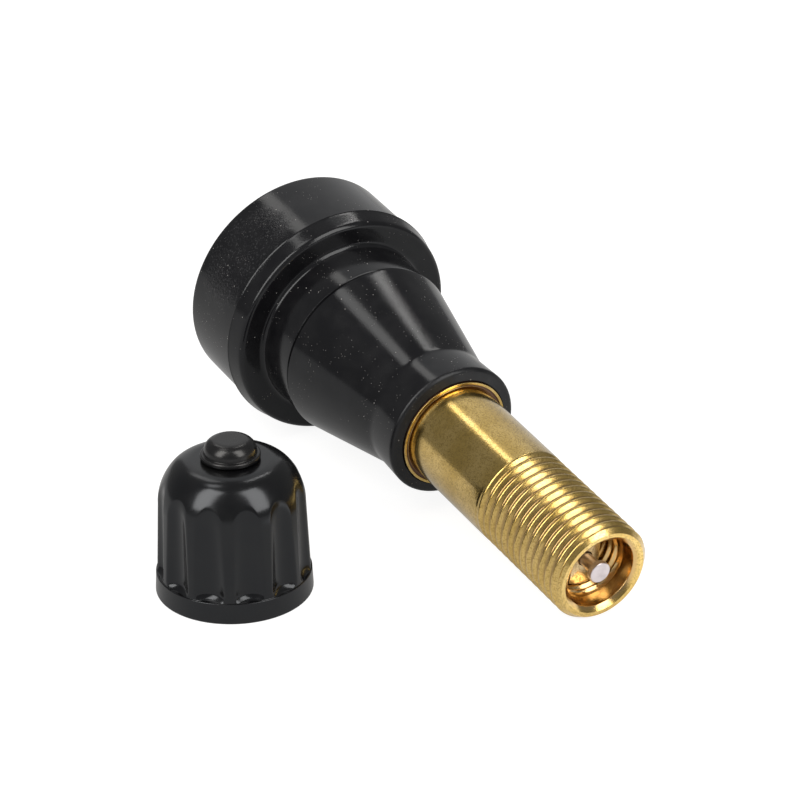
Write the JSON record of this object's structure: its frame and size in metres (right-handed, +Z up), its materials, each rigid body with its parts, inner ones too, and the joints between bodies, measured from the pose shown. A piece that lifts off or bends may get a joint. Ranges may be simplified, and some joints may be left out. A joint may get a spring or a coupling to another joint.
{
  "type": "tyre valve",
  "caption": "Snap-in tyre valve: brass stem bonded in a rubber body, with its sprung core and its fluted cap standing beside it.",
  "frame": {"origin": "on the ground, below the middle of the set's bounding box, with the valve lying on its flange and the tip of its thread and the cap standing mouth down beside it", "axes": "+X runs along the valve's shadow, from the flange to the mouth, +Z is up, and the cap stands on the -Y side"},
  "size_m": [0.0454, 0.0344, 0.0192],
  "materials": {
    "rubber": "moulded, satin, slightly dusty",
    "brass": "turned and bright",
    "core_brass": "turned",
    "pin_metal": "plated, satin",
    "seal_plastic": "moulded, matt",
    "cap_plastic": "moulded, glossy",
    "cap_rubber": "moulded, satin"
  },
  "bodies": {
    "valve_and_cap": {"rubber_body": "rubber", "valve_stem": "brass", "core_plug": "core_brass", "core_barrel": "core_brass", "barrel_seal": "seal_plastic", "pin_spring": "pin_metal", "cap_shell": "cap_plastic", "cap_seal": "cap_rubber"},
    "pin": {"core_pin": "pin_metal", "poppet_cup": "core_brass", "poppet_seal": "rubber"}
  },
  "joints": [
    {"name": "pin_press", "type": "slide", "parent": "valve_and_cap", "child": "pin", "axis": [-0.9893, 0, 0.1461], "range_m": [0, 0.0012], "stiffness_N_per_m": 800, "deforming": ["pin_spring"]}
  ]
}
